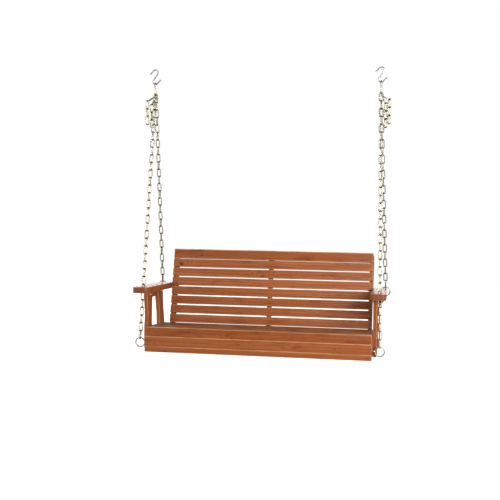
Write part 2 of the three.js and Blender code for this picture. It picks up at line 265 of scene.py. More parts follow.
def stained_board_group() -> bpy.types.NodeTree:
    """Makes the look of stained and oiled hardwood, with its grain along X.

    Returns:
        The group.
    """
    takes = {"Place": "Vector", "Normal": "Vector", "Seed": "Float", "Tone": "Float", "Eased": "Float"}
    takes |= {"Pale Stain": "Color", "Red Stain": "Color", "Deep Stain": "Color"}
    gives = {"Colour": "Color", "Roughness": "Float", "Height": "Float"}
    group, shade, entry, leave = shader_group("stained board", takes, gives)
    scaled = shade.add("VectorMath", operation="SCALE")
    shade.feed(scaled.inputs[0], SEED_STEP)
    shade.feed(scaled.inputs["Scale"], entry["Seed"])
    place = shade.vector("ADD", entry["Place"], scaled.outputs[0])

    cells = shade.add("TexVoronoi", feature="F1")
    shade.feed(cells.inputs["Vector"], shade.vector("MULTIPLY", place, (5.0, 9.0, 9.0)))
    cells.inputs["Scale"].default_value = 1.0
    pick = shade.add("SeparateColor")
    shade.feed(pick.inputs[0], cells.outputs["Color"])
    chosen = shade.math("GREATER_THAN", pick.outputs[0], 0.74)
    knot = shade.math("MULTIPLY", chosen, shade.span(cells.outputs["Distance"], 0.03, 0.10, 1.0, 0.0))
    round_knot = shade.math("MULTIPLY", chosen, shade.span(cells.outputs["Distance"], 0.02, 0.5, 1.0, 0.0))

    rings = shade.add("TexWave", wave_type="RINGS", rings_direction="X", wave_profile="SIN")
    warp = shade.noise(place, (1.6, 11.0, 11.0), 2.0)
    swirl = shade.math("MULTIPLY", shade.math("ADD", warp, round_knot), 0.035)
    bent = shade.add("CombineXYZ")
    shade.feed(bent.inputs[1], swirl)
    shade.feed(bent.inputs[2], swirl)
    ring_place = shade.vector("ADD", shade.vector("MULTIPLY", place, (0.03, 1.0, 1.0)), bent.outputs[0])
    shade.feed(rings.inputs["Vector"], shade.vector("ADD", ring_place, (0.0, 0.045, 0.03)))
    for title, value in (("Scale", 22.0), ("Distortion", 1.6), ("Detail", 2.0), ("Detail Scale", 3.0)):
        rings.inputs[title].default_value = value
    ring = shade.span(rings.outputs["Fac"], 0.15, 0.95)

    cloud = shade.span(shade.noise(place, (2.3, 8.0, 8.0), 2.0), 0.3, 0.7)
    streak = shade.span(shade.noise(place, (2.0, 62.0, 62.0), 4.0), 0.34, 0.68)
    fibre = shade.span(shade.noise(place, (14.0, 520.0, 520.0), 4.0), 0.3, 0.72)
    pores = shade.span(shade.noise(place, (45.0, 1500.0, 1500.0), 1.0), 0.62, 0.72)
    smoke = shade.span(shade.noise(place, (9.0, 26.0, 26.0), 3.0), 0.52, 0.74)
    specks = shade.span(shade.noise(place, (34.0, 120.0, 120.0), 1.0), 0.71, 0.76)
    facing = shade.vector("DOT_PRODUCT", entry["Normal"], (1.0, 0.0, 0.0))
    end_cut = shade.span(shade.math("ABSOLUTE", facing), 0.6, 0.9)

    stain = shade.mix(shade.math("MULTIPLY", streak, 0.85), entry["Pale Stain"], entry["Red Stain"])
    stain = shade.mix(shade.math("MULTIPLY", cloud, 0.6), stain, entry["Red Stain"])
    stain = shade.mix(shade.math("MULTIPLY", ring, 0.42), stain, entry["Deep Stain"])
    soaked_and_shaded = shade.mix(streak, entry["Deep Stain"], entry["Red Stain"])
    # Tone pulls the stain towards a deeper soak; on the seat and the right-hand posts it is raised as
    # painted shade.
    stain = shade.mix(shade.math("MULTIPLY", entry["Tone"], 0.72), stain, soaked_and_shaded)
    dark_marks = (
        (smoke, 0.62, (0.60, 0.50, 0.42)),
        (fibre, 0.3, (0.62, 0.46, 0.36)),
        (pores, 0.5, (0.28, 0.17, 0.12)),
        (specks, 0.6, (0.2, 0.1, 0.06)),
        (knot, 0.8, (0.22, 0.12, 0.08)),
        (end_cut, 0.62, (0.42, 0.3, 0.24)),
    )
    for mark, strength, colour in dark_marks:
        stain = shade.mix(shade.math("MULTIPLY", mark, strength), stain, colour, "MULTIPLY")
    # Eased edges are mixed towards a lighter colour: partly rubbed wear, partly a painted highlight where
    # the rounded edges catch light.
    patchy = shade.span(shade.noise(place, (9.0, 30.0, 30.0)), 0.3, 0.6, 0.25, 0.8)
    rub = shade.math("MULTIPLY", entry["Eased"], patchy)
    shade.feed(leave["Colour"], shade.mix(rub, stain, RUBBED_AND_HIGHLIT_EDGE))

    rough = shade.math("ADD", shade.math("MULTIPLY", fibre, 0.10), shade.math("MULTIPLY", pores, 0.18))
    rough = shade.math("ADD", rough, shade.math("MULTIPLY", end_cut, 0.2))
    shade.feed(leave["Roughness"], shade.math("ADD", rough, shade.math("MULTIPLY", cloud, 0.08)))
    height = shade.math("SUBTRACT", shade.math("MULTIPLY", fibre, 0.35), pores)
    shade.feed(leave["Height"], shade.math("ADD", height, shade.math("MULTIPLY", ring, 0.3)))
    return group


def plating_group() -> bpy.types.NodeTree:
    """Makes the cloudy look of thin plating on wire, with fine scratches and grime where it rubs.

    Returns:
        The group.
    """
    takes = {"Place": "Vector", "Bright": "Color", "Dull": "Color", "Grime": "Color", "Rubbed": "Float"}
    gives = {"Colour": "Color", "Roughness": "Float", "Height": "Float"}
    group, shade, entry, leave = shader_group("cloudy plating", takes, gives)
    cloud = shade.span(shade.noise(entry["Place"], (55.0, 55.0, 55.0), 3.0), 0.32, 0.68)
    crystal = shade.span(shade.noise(entry["Place"], (420.0, 420.0, 420.0), 2.0), 0.3, 0.7)
    scratch = shade.span(shade.noise(entry["Place"], (2600.0, 260.0, 240.0), 1.0), 0.66, 0.74)
    spots = shade.span(shade.noise(entry["Place"], (150.0, 150.0, 150.0), 2.0), 0.64, 0.74)
    plate = shade.mix(cloud, entry["Bright"], entry["Dull"])
    plate = shade.mix(shade.math("MULTIPLY", crystal, 0.25), plate, entry["Dull"], "MULTIPLY")
    rubbed = shade.math("MULTIPLY", entry["Rubbed"], shade.span(cloud, 0.0, 1.0, 0.65, 1.0))
    dirt = shade.math("MAXIMUM", rubbed, shade.math("MULTIPLY", spots, 0.45))
    shade.feed(leave["Colour"], shade.mix(dirt, plate, entry["Grime"]))
    rough = shade.math("ADD", shade.math("MULTIPLY", cloud, 0.14), shade.math("MULTIPLY", dirt, 0.25))
    shade.feed(leave["Roughness"], shade.math("ADD", rough, shade.math("MULTIPLY", crystal, 0.06)))
    shade.feed(leave["Height"], shade.math("SUBTRACT", shade.math("MULTIPLY", crystal, 0.4), scratch))
    return group


def start_material(name: str) -> tuple[bpy.types.Material, Shade, bpy.types.Node]:
    """Starts a material with one Principled shader.

    Args:
        name: the material's name.

    Returns:
        The material, the means to add nodes to it, and its shader.
    """
    material = bpy.data.materials.new(name)
    material.use_nodes = True
    shade = Shade(material.node_tree)
    return material, shade, material.node_tree.nodes["Principled BSDF"]


def finish_surface(
    shade: Shade, shader: bpy.types.Node, surface: bpy.types.Node, base: float, relief: float
) -> None:
    """Joins a surface group's outputs to a shader.

    Args:
        shade: the material's nodes.
        shader: its Principled shader.
        surface: the group node, with Colour, Roughness and Height.
        base: the roughness that the group's own is added to.
        relief: how deep the height goes.
    """
    shade.feed(shader.inputs["Base Color"], surface.outputs["Colour"])
    shade.feed(shader.inputs["Roughness"], shade.math("ADD", surface.outputs["Roughness"], base))
    bump = shade.add("Bump")
    bump.inputs["Strength"].default_value = BUMP_STRENGTH
    bump.inputs["Distance"].default_value = relief
    shade.feed(bump.inputs["Height"], surface.outputs["Height"])
    shade.feed(shader.inputs["Normal"], bump.outputs["Normal"])


@dataclass(frozen=True)
class StainedHardwood:
    """Reddish-brown stained hardwood under a thin oil, in one material for each way the grain lies."""

    name: str = "stained_hardwood"
    pale: Triple = (0.52, 0.180, 0.070)
    red: Triple = (0.365, 0.100, 0.022)
    deep: Triple = (0.235, 0.052, 0.006)
    roughness: float = 0.34
    relief: float = 0.0005
    sheen: float = 0.20
    oil_film: float = 0.08
    oil_roughness: float = 0.28

    def material(self, grain: Grain, group: bpy.types.NodeTree) -> bpy.types.Material:
        """Makes the material for boards whose grain lies one way.

        Args:
            grain: how the grain lies.
            group: the stained board group.

        Returns:
            The material.
        """
        material, shade, shader = start_material(f"{self.name}_{grain.name.lower()}")
        coordinates = shade.add("TexCoord")
        surface = shade.add("Group")
        surface.node_tree = group
        for output, target in (("Object", "Place"), ("Normal", "Normal")):
            turn = shade.add("Mapping", vector_type="POINT")
            turn.inputs["Rotation"].default_value = grain.value
            shade.feed(turn.inputs["Vector"], coordinates.outputs[output])
            shade.feed(surface.inputs[target], turn.outputs[0])
        for title in ("Seed", "Tone", "Eased"):
            note = shade.add("Attribute", attribute_name="board_" + title.lower())
            shade.feed(surface.inputs[title], note.outputs["Fac"])
        for title, colour in (("Pale", self.pale), ("Red", self.red), ("Deep", self.deep)):
            shade.feed(surface.inputs[title + " Stain"], colour)
        finish_surface(shade, shader, surface, self.roughness, self.relief)
        shader.inputs["Specular IOR Level"].default_value = self.sheen
        shader.inputs["Coat Weight"].default_value = self.oil_film
        shader.inputs["Coat Roughness"].default_value = self.oil_roughness
        return material


@dataclass(frozen=True)
class PlatedMetal:
    """A plated or bare metal finish."""

    name: str
    bright: Triple
    dull: Triple
    grime: Triple
    roughness: float

    def material(self, group: bpy.types.NodeTree) -> bpy.types.Material:
        """Makes the material.

        Args:
            group: the cloudy plating group.

        Returns:
            The material.
        """
        material, shade, shader = start_material(self.name)
        coordinates = shade.add("TexCoord")
        surface = shade.add("Group")
        surface.node_tree = group
        shade.feed(surface.inputs["Place"], coordinates.outputs["Object"])
        note = shade.add("Attribute", attribute_name="rubbed")
        shade.feed(surface.inputs["Rubbed"], note.outputs["Fac"])
        for title, colour in (("Bright", self.bright), ("Dull", self.dull), ("Grime", self.grime)):
            shade.feed(surface.inputs[title], colour)
        finish_surface(shade, shader, surface, self.roughness, PLATING_RELIEF)
        shader.inputs["Metallic"].default_value = 1.0
        return material


class Finishes:
    """Every finish on the swing, made once."""

    OILED = StainedHardwood()
    POLISHED = StainedHardwood("hand_polished_hardwood", sheen=0.40, oil_film=0.18)
    # The seat's finish is duller, and its stain colours are painted darker as shade, for the seat that lies
    # under the back.
    DULL_SEAT_IN_SHADE = StainedHardwood(
        "dry_seat_hardwood",
        pale=(0.33, 0.096, 0.030),
        red=(0.24, 0.058, 0.011),
        deep=(0.16, 0.034, 0.004),
        roughness=0.55,
        sheen=0.04,
        oil_film=0.0,
    )
    YELLOW_ZINC = PlatedMetal(
        "yellow_zinc_plating", (0.80, 0.76, 0.60), (0.50, 0.45, 0.30), (0.014, 0.012, 0.008), 0.26
    )
    BRIGHT_STEEL = PlatedMetal(
        "bright_steel_hooks", (0.72, 0.73, 0.74), (0.46, 0.47, 0.48), (0.10, 0.10, 0.10), 0.22
    )
    SCREW_BRASS = PlatedMetal(
        "brassed_screws", (0.83, 0.62, 0.30), (0.60, 0.42, 0.18), (0.12, 0.08, 0.04), 0.26
    )

    def __init__(self) -> None:
        """Makes the groups and the materials that use them."""
        boards = stained_board_group()
        plating = plating_group()
        self.wood = {grain: self.OILED.material(grain, boards) for grain in Grain}
        self.wood[Grain.SLOPING_BACK] = self.POLISHED.material(Grain.SLOPING_BACK, boards)
        self.seat_wood = self.DULL_SEAT_IN_SHADE.material(Grain.ACROSS, boards)
        self.zinc = self.YELLOW_ZINC.material(plating)
        self.steel = self.BRIGHT_STEEL.material(plating)
        self.brass = self.SCREW_BRASS.material(plating)


# ------------------------------------------------------------------ bench work


def select_only(*pieces: Piece) -> None:
    """Selects these pieces and nothing else, and makes the first one active."""
    bpy.ops.object.select_all(action="DESELECT")
    for piece in pieces:
        piece.select_set(True)
    bpy.context.view_layer.objects.active = pieces[0]


def take(name: str) -> Piece:
    """Names the primitive that was just added, and settles its place and turn in its mesh.

    Args:
        name: the piece's name.

    Returns:
        The piece.
    """
    piece = bpy.context.object
    piece.name = name
    piece.data.name = name
    bpy.ops.object.transform_apply(location=True, rotation=True, scale=True)
    return piece


@contextmanager
def shaping(piece: Piece, mode: str = "VERT") -> Iterator[None]:
    """Holds a piece in edit mode with nothing selected, then leaves edit mode.

    Args:
        piece: the piece.
        mode: VERT, EDGE or FACE, for what is picked.
    """
    select_only(piece)
    bpy.ops.object.mode_set(mode="EDIT")
    bpy.ops.mesh.select_mode(type=mode)
    bpy.ops.mesh.select_all(action="DESELECT")
    yield
    bpy.ops.object.mode_set(mode="OBJECT")


def pick_points(piece: Piece, test: Callable[[Vector], bool]) -> None:
    """In edit mode, selects the vertices whose place passes a test, and no others."""
    mesh = bmesh.from_edit_mesh(piece.data)
    bpy.ops.mesh.select_all(action="DESELECT")
    for point in mesh.verts:
        point.select = test(point.co)
    mesh.select_flush(True)
    bmesh.update_edit_mesh(piece.data)


def pick_faces(piece: Piece, test: Callable[[bmesh.types.BMFace], bool]) -> None:
    """In edit mode, selects the faces that pass a test, and no others."""
    mesh = bmesh.from_edit_mesh(piece.data)
    bpy.ops.mesh.select_all(action="DESELECT")
    for face in mesh.faces:
        if test(face):
            face.select_set(True)
    bmesh.update_edit_mesh(piece.data)


def copied(piece: Piece, name: str, place: Matrix) -> Piece:
    """Copies a piece with its own mesh.

    Args:
        piece: what is copied.
        name: the copy's name.
        place: where the copy goes, worked into its mesh.

    Returns:
        The copy.
    """
    twin = bpy.data.objects.new(name, piece.data.copy())
    twin.data.name = name
    twin.data.transform(place)
    if place.determinant() < 0:
        twin.data.flip_normals()
    bpy.context.collection.objects.link(twin)
    return twin


def joined(pieces: Sequence[Piece], name: str) -> Piece:
    """Joins pieces into one.

    Args:
        pieces: what is joined.
        name: the joined piece's name.

    Returns:
        The joined piece.
    """
    select_only(*pieces)
    bpy.ops.object.join()
    pieces[0].name = name
    pieces[0].data.name = name
    return pieces[0]


def discard(piece: Piece) -> None:
    """Removes a pattern piece once its copies are made."""
    bpy.data.objects.remove(piece)


def smooth(piece: Piece, angle: float = 35.0) -> None:
    """Shades a piece smooth up to an angle in degrees."""
    select_only(piece)
    bpy.ops.object.shade_smooth_by_angle(angle=math.radians(angle))


def note_on_points(piece: Piece, name: str, value: Callable[[Vector], float]) -> None:
    """Writes a value on each vertex of a piece, from its place."""
    note = piece.data.attributes.new(name, "FLOAT", "POINT")
    note.data.foreach_set("value", [value(point.co) for point in piece.data.vertices])


def hand_over(piece: Piece, body: str, slot: Slot, material: bpy.types.Material, *nodes: str) -> Piece:
    """Gives a finished piece its material and its body, and hides the imported nodes it stands for.

    Args:
        piece: the finished piece.
        body: the body it moves with.
        slot: not used.
        material: its finish.
        nodes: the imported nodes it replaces, if any.

    Returns:
        The piece.
    """
    piece.data.materials.clear()
    piece.data.materials.append(material)
    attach(piece, body)
    if nodes:
        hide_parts(*nodes)
    LOG.info("%s: %d faces, moves with %s", piece.name, len(piece.data.polygons), body)
    return piece


def middle_of(node: str) -> Vector:
    """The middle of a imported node's box."""
    low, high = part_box(node)
    return (Vector(low) + Vector(high)) / 2


# ------------------------------------------------------------------ wood


@dataclass(frozen=True)
class BoardPlan:
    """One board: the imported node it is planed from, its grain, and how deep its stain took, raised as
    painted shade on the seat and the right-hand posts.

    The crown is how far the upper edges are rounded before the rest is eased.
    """

    node: str
    grain: Grain
    tone: float
    round_over: float = 0.0019
    crown: float = 0.0
    # Seat boards take the duller seat finish, whose stain is painted darker as shade.
    seat_in_shade: bool = False


@dataclass
class Boards:
    """Every wooden board of the bench, planed from its packed blank with eased edges."""

    finishes: Finishes
    body: str = "swing"
    easing_steps: int = 3
    corner_angle: float = math.radians(40)
    top_crown: float = 0.006
    back_tones: tuple[float, ...] = (0.30, 0.10, 0.34, 0.16, 0.02, 0.28, 0.12, 0.92)
    # The seat's tones are kept high as painted shade, for the seat in the shadow of the back.
    seat_shade_tones: tuple[float, ...] = (0.90, 0.75, 0.95, 0.8, 1.0, 0.85, 1.0)
    apron_tones: dict[str, float] = field(
        default_factory=lambda: {"bottom": 0.55, "middle": 0.62, "top": 1.0}
    )
    # The right-hand posts get the deepest tone as painted shade from the arm above them.
    post_shade_tones: dict[str, float] = field(default_factory=lambda: {"left": 0.7, "right": 1.0})

    def plans(self) -> Iterator[BoardPlan]:
        """Lists the boards.

        Yields:
            A plan for each board, in building order.
        """
        for name, tone in self.apron_tones.items():
            yield BoardPlan(f"apron_board_{name}", Grain.ACROSS, tone)
        for number, tone in enumerate(self.seat_shade_tones, start=1):
            yield BoardPlan(f"seat_slat_{number}", Grain.ACROSS, tone, seat_in_shade=True)
        for number, tone in enumerate(self.back_tones, start=1):
            crown = self.top_crown if number == len(self.back_tones) else 0.0
            yield BoardPlan(f"back_slat_{number}", Grain.ACROSS, tone, crown=crown)
        yield BoardPlan("centre_bearer", Grain.LEVEL_BACK, 0.5)
        yield BoardPlan("back_upright_centre", Grain.LEANING, 0.45)
        for side in ("left", "right"):
            yield BoardPlan(f"side_board_{side}", Grain.LEVEL_BACK, 0.55)
            yield BoardPlan(f"back_upright_{side}", Grain.LEANING, 0.5)
            yield BoardPlan(f"arm_{side}", Grain.SLOPING_BACK, 0.45, 0.0035)
            yield BoardPlan(f"arm_rail_{side}", Grain.SLOPING_BACK, 0.6)
            yield BoardPlan(f"arm_post_front_{side}", Grain.UPRIGHT, self.post_shade_tones[side])
            yield BoardPlan(f"arm_post_rear_{side}", Grain.UPRIGHT, self.post_shade_tones[side])

    def plane(self, plan: BoardPlan, seed: float) -> Piece:
        """Planes one board: clean flat faces, then eased edges that are noted for the stain, which paints
        them lighter, partly as wear and partly as a painted highlight.

        Args:
            plan: the board's plan.
            seed: a number that gives the board its own figure.

        Returns:
            The board.
        """
        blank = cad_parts[plan.node]
        board = copied(blank, "planed_" + plan.node, Matrix.Identity(4))
        material = self.finishes.seat_wood if plan.seat_in_shade else self.finishes.wood[plan.grain]
        board.data.materials.clear()
        board.data.materials.append(material)
        board.data.materials.append(material)
        select_only(board)
        bpy.ops.mesh.customdata_custom_splitnormals_clear()
        with shaping(board):
            bpy.ops.mesh.select_all(action="SELECT")
            bpy.ops.mesh.remove_doubles(threshold=WELD_GAP)
            bpy.ops.mesh.dissolve_limited(angle_limit=math.radians(1))
            if plan.crown:
                self.round_crown(board, plan.crown)
        easing = board.modifiers.new("eased edges", "BEVEL")
        easing.width = plan.round_over
        easing.segments = self.easing_steps
        easing.limit_method = "ANGLE"
        easing.angle_limit = self.corner_angle
        easing.material = 1
        bpy.ops.object.modifier_apply(modifier=easing.name)
        self.note_board(board, plan, seed)
        smooth(board)
        return hand_over(board, self.body, Slot.WOOD, material, plan.node)

    def round_crown(self, board: Piece, radius: float) -> None:
        """Rounds a leaning board's two long upper edges, in edit mode.

        Args:
            board: the board.
            radius: how far the rounding reaches.
        """
        along = Vector((0, math.sin(BACK_LEAN), math.cos(BACK_LEAN)))
        crest = max(point.co.dot(along) for point in board.data.vertices)
        mesh = bmesh.from_edit_mesh(board.data)
        bpy.ops.mesh.select_mode(type="EDGE")
        bpy.ops.mesh.select_all(action="DESELECT")
        for edge in mesh.edges:
            low = min(point.co.dot(along) for point in edge.verts)
            long = abs((edge.verts[0].co - edge.verts[1].co).x) > radius
            edge.select = long and low > crest - radius
        bmesh.update_edit_mesh(board.data)
        # The crown's faces are noted as eased, so they get the lighter edge colour, partly a painted
        # highlight along the top.
        bpy.ops.mesh.bevel(offset=radius, segments=4, material=1)

    def note_board(self, board: Piece, plan: BoardPlan, seed: float) -> None:
        """Notes on the mesh the board's figure, its stain and which faces were eased.

        Args:
            board: the board, whose eased faces have the second material.
            plan: its plan.
            seed: its figure.
        """
        eased = board.data.attributes.new("board_eased", "FLOAT", "FACE")
        eased.data.foreach_set("value", [float(face.material_index) for face in board.data.polygons])
        board.data.polygons.foreach_set("material_index", [0] * len(board.data.polygons))
        note_on_points(board, "board_seed", lambda place: seed)
        # The tone darkens the stain; on the seat and the right-hand posts it is raised as painted shade.
        note_on_points(board, "board_tone", lambda place: plan.tone)

    def build(self) -> None:
        """Planes every board."""
        for number, plan in enumerate(self.plans(), start=1):
            self.plane(plan, float(number))


@dataclass
class Screws:
    """Countersunk brassed wood screws and round bolt heads that hold the boards together."""

    finishes: Finishes
    body: str = "swing"
    head_radius: float = 0.0042
    head_depth: float = 0.0022
    seat_grime: float = 0.9
    proud: float = 0.0004
    recess_radius: float = 0.0019
    dome_radius: float = 0.0085
    dome_height: float = 0.0036
    upright_behind_slat: float = 0.0653
    half_slat: float = 0.010
    half_arm: float = 0.016
    cap_drop: float = 0.0135
    cap_height: float = 0.0085
    cap_radius: float = 0.0065
    screw_spread: float = 0.011
    arm_screw_spacing: float = 0.15
    rim_width: float = 0.0006
    rim_step: float = 0.0003
    recess_depth: float = 0.0014
    bolt_heights: tuple[float, ...] = (0.038, 0.092)

    def screw_head(self) -> Piece:
        """Turns a screw head that faces +Z, with a square recess.

        Returns:
            The head, with its rim at the origin.
        """
        bpy.ops.mesh.primitive_cylinder_add(vertices=16, radius=self.head_radius, depth=self.head_depth)
        head = take("screw_head_pattern")
        with shaping(head, "FACE"):
            pick_faces(head, lambda face: face.normal.z > FLAT_ON)
            bpy.ops.mesh.inset(thickness=self.rim_width)
            bpy.ops.transform.translate(value=(0, 0, self.rim_step))
            bpy.ops.mesh.inset(thickness=self.head_radius - self.rim_width - self.recess_radius)
            bpy.ops.mesh.extrude_region_move(TRANSFORM_OT_translate={"value": (0, 0, -self.recess_depth)})
        head.data.transform(Matrix.Translation((0, 0, self.proud - self.head_depth / 2)))
        smooth(head)
        return head

    def dome_head(self, radius: float, height: float) -> Piece:
        """Turns a round bolt head or cap nut that faces +Z.

        Args:
            radius: the radius of its flat side.
            height: how far it stands out.

        Returns:
            The head, with its flat side at the origin.
        """
        bpy.ops.mesh.primitive_uv_sphere_add(segments=20, ring_count=12, radius=radius)
        head = take("bolt_head_pattern")
        with shaping(head):
            bpy.ops.mesh.select_all(action="SELECT")
            bpy.ops.mesh.bisect(plane_co=(0, 0, 0), plane_no=(0, 0, 1), use_fill=True, clear_inner=True)
            bpy.ops.mesh.select_all(action="SELECT")
            flat = (1, 1, height / radius)
            bpy.ops.transform.resize(value=flat, center_override=(0, 0, 0))
        smooth(head, 50)
        return head

    def set_in(self, head: Piece, spots: Spots, name: str, grimy: float = 0.0) -> None:
        """Sets copies of a head into the wood.

        Args:
            head: the pattern.
            spots: each place on a surface with the way the surface faces.
            name: the name of the joined set.
            grimy: how dirty the heads are, from 0 to 1.
        """
        copies = []
        for number, (place, facing) in enumerate(spots):
            turn = facing.to_track_quat("Z", "Y").to_matrix().to_4x4()
            copies.append(copied(head, f"{name}_{number}", Matrix.Translation(place) @ turn))
        piece = joined(copies, name)
        note_on_points(piece, "rubbed", lambda place: grimy)
        hand_over(piece, self.body, Slot.ZINC, self.finishes.brass)
        discard(head)

    def slat_spots(
        self, slats: Sequence[str], supports: Sequence[str], facing: Vector, along: Vector, lift: float
    ) -> Spots:
        """Finds where slats are screwed to the boards under or behind them, two screws at each.

        Args:
            slats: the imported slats.
            supports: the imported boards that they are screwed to.
            facing: the way the screw heads face.
            along: the way from one screw of a pair to the other.
            lift: from a slat's middle to the surface that the heads are set in.

        Returns:
            The spots.
        """
        xs = [middle_of(support).x for support in supports]
        spots = []
        for name in slats:
            slat = middle_of(name)
            for x in xs:
                for way in (-1, 1):
                    place = Vector((x, slat.y, slat.z)) + facing * lift
                    spots.append((place + along * way * self.screw_spread, facing))
        return spots

    def set_slat_screws(self) -> None:
        """Sets in the screws of the back slats, from behind, and of the seat slats, from above."""
        slats = [f"back_slat_{number}" for number in range(1, 9)]
        supports = [f"back_upright_{name}" for name in ("left", "centre", "right")]
        behind = Vector((0, math.cos(BACK_LEAN), -math.sin(BACK_LEAN)))
        along = Vector((0, math.sin(BACK_LEAN), math.cos(BACK_LEAN)))
        back = self.slat_spots(slats, supports, behind, along, self.upright_behind_slat)
        slats = [f"seat_slat_{number}" for number in range(1, 8)]
        supports = ["side_board_left", "centre_bearer", "side_board_right"]
        above = Vector((0, math.sin(SEAT_SLOPE), math.cos(SEAT_SLOPE)))
        along = Vector((0, math.cos(SEAT_SLOPE), -math.sin(SEAT_SLOPE)))
        seat = self.slat_spots(slats, supports, above, along, self.half_slat)
        self.set_in(self.screw_head(), back, "back_slat_screws")
        self.set_in(self.screw_head(), seat, "seat_slat_screws", self.seat_grime)

    def build(self) -> None:
        """Sets in every screw and bolt head."""
        self.set_slat_screws()
        bolts = []
        caps = []
        arm_screws = []
        for side, name in ((-1, "left"), (1, "right")):
            facing = X_AXIS * side
            for row in ("front", "rear"):
                low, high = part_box(f"arm_post_{row}_{name}")
                outer = high[0] if side > 0 else low[0]
                middle = middle_of(f"arm_post_{row}_{name}")
                for height in self.bolt_heights:
                    bolts.append((Vector((outer, middle.y, low[2] + height)), facing))
                inner = low[0] if side > 0 else high[0]
                caps.append((Vector((inner, middle.y, high[2] - self.cap_drop)), -facing))
            rail = middle_of(f"arm_rail_{name}")
            above = Vector((0, math.sin(ARM_SLOPE), math.cos(ARM_SLOPE)))
            centre = middle_of(f"arm_{name}")
            for along in (-self.arm_screw_spacing, 0.0, self.arm_screw_spacing):
                back, drop = along * math.cos(ARM_SLOPE), along * math.sin(ARM_SLOPE)
                place = Vector((rail.x, centre.y + back, centre.z - drop))
                arm_screws.append((place + above * self.half_arm, above))
        self.set_in(self.screw_head(), arm_screws, "arm_screws")
        self.set_in(self.dome_head(self.dome_radius, self.dome_height), bolts, "arm_post_bolt_heads")
        self.set_in(self.dome_head(self.cap_radius, self.cap_height), caps, "arm_post_cap_nuts")


# ------------------------------------------------------------------ hardware


@dataclass
class BentRod:
    """Round wire, bent on a former from one end to the other."""

    name: str
    diameter: float
    place: Vector
    heading: Vector
    sides: int = 14
    tip: float = 0.0008
    piece: Piece = field(init=False)

    def start(self) -> None:
        """Lays the first end, with a small chamfer, and stays in edit mode."""
        turn = self.heading.to_track_quat("Z", "Y").to_euler()
        radius = self.diameter / 2 - self.tip
        bpy.ops.object.select_all(action="DESELECT")
        bpy.ops.mesh.primitive_circle_add(
            vertices=self.sides, radius=radius, location=self.place, rotation=turn
        )
        self.piece = take(self.name)
        bpy.ops.object.mode_set(mode="EDIT")
        bpy.ops.mesh.select_mode(type="VERT")
        bpy.ops.mesh.select_all(action="SELECT")
        self.straight(self.tip)
        self.swell(self.diameter / 2 / radius)

    def straight(self, length: float) -> None:
        """Runs the wire on along its heading."""
        self.place = self.place + self.heading * length
        move = self.heading * length
        bpy.ops.mesh.extrude_region_move(TRANSFORM_OT_translate={"value": move})

    def swell(self, factor: float) -> None:
        """Makes the open end wider or narrower."""
        bpy.ops.transform.resize(value=(factor,) * 3, center_override=self.place)

    def thread(self, length: float, pitch: float, depth: float) -> None:
        """Cuts a screw thread as close rings.

        Args:
            length: how much of the wire is threaded.
            pitch: from one crest to the next.
            depth: from crest to root.
        """
        root = 1 - 2 * depth / self.diameter
        for _ in range(round(length / pitch)):
            self.straight(pitch / 2)
            self.swell(root)
            self.straight(pitch / 2)
            self.swell(1 / root)

    def bend(self, centre: Vector, axis: Vector, angle: float, steps: int) -> None:
        """Bends the wire round a former.

        Args:
            centre: the former's centre.
            axis: the former's axis.
            angle: how far the wire is bent, counter-clockwise as the axis points at the eye.
            steps: how many short lengths make the bend.
        """
        bpy.ops.mesh.spin(steps=steps, angle=-angle, center=centre, axis=axis)
        turn = Matrix.Rotation(angle, 3, axis)
        self.place = centre + turn @ (self.place - centre)
        self.heading = turn @ self.heading

    def finish(self) -> Piece:
        """Chamfers and closes the last end.

        Returns:
            The wire.
        """
        self.straight(self.tip)
        self.swell((self.diameter / 2 - self.tip) / (self.diameter / 2))
        bpy.ops.mesh.select_all(action="SELECT")
        bpy.ops.mesh.remove_doubles(threshold=WELD_GAP)
        bpy.ops.mesh.select_all(action="DESELECT")
        bpy.ops.mesh.select_non_manifold()
        bpy.ops.mesh.fill_holes(sides=0)
        bpy.ops.mesh.select_all(action="SELECT")
        bpy.ops.mesh.normals_make_consistent(inside=False)
        bpy.ops.object.mode_set(mode="OBJECT")
        smooth(self.piece, 40)
        return self.piece


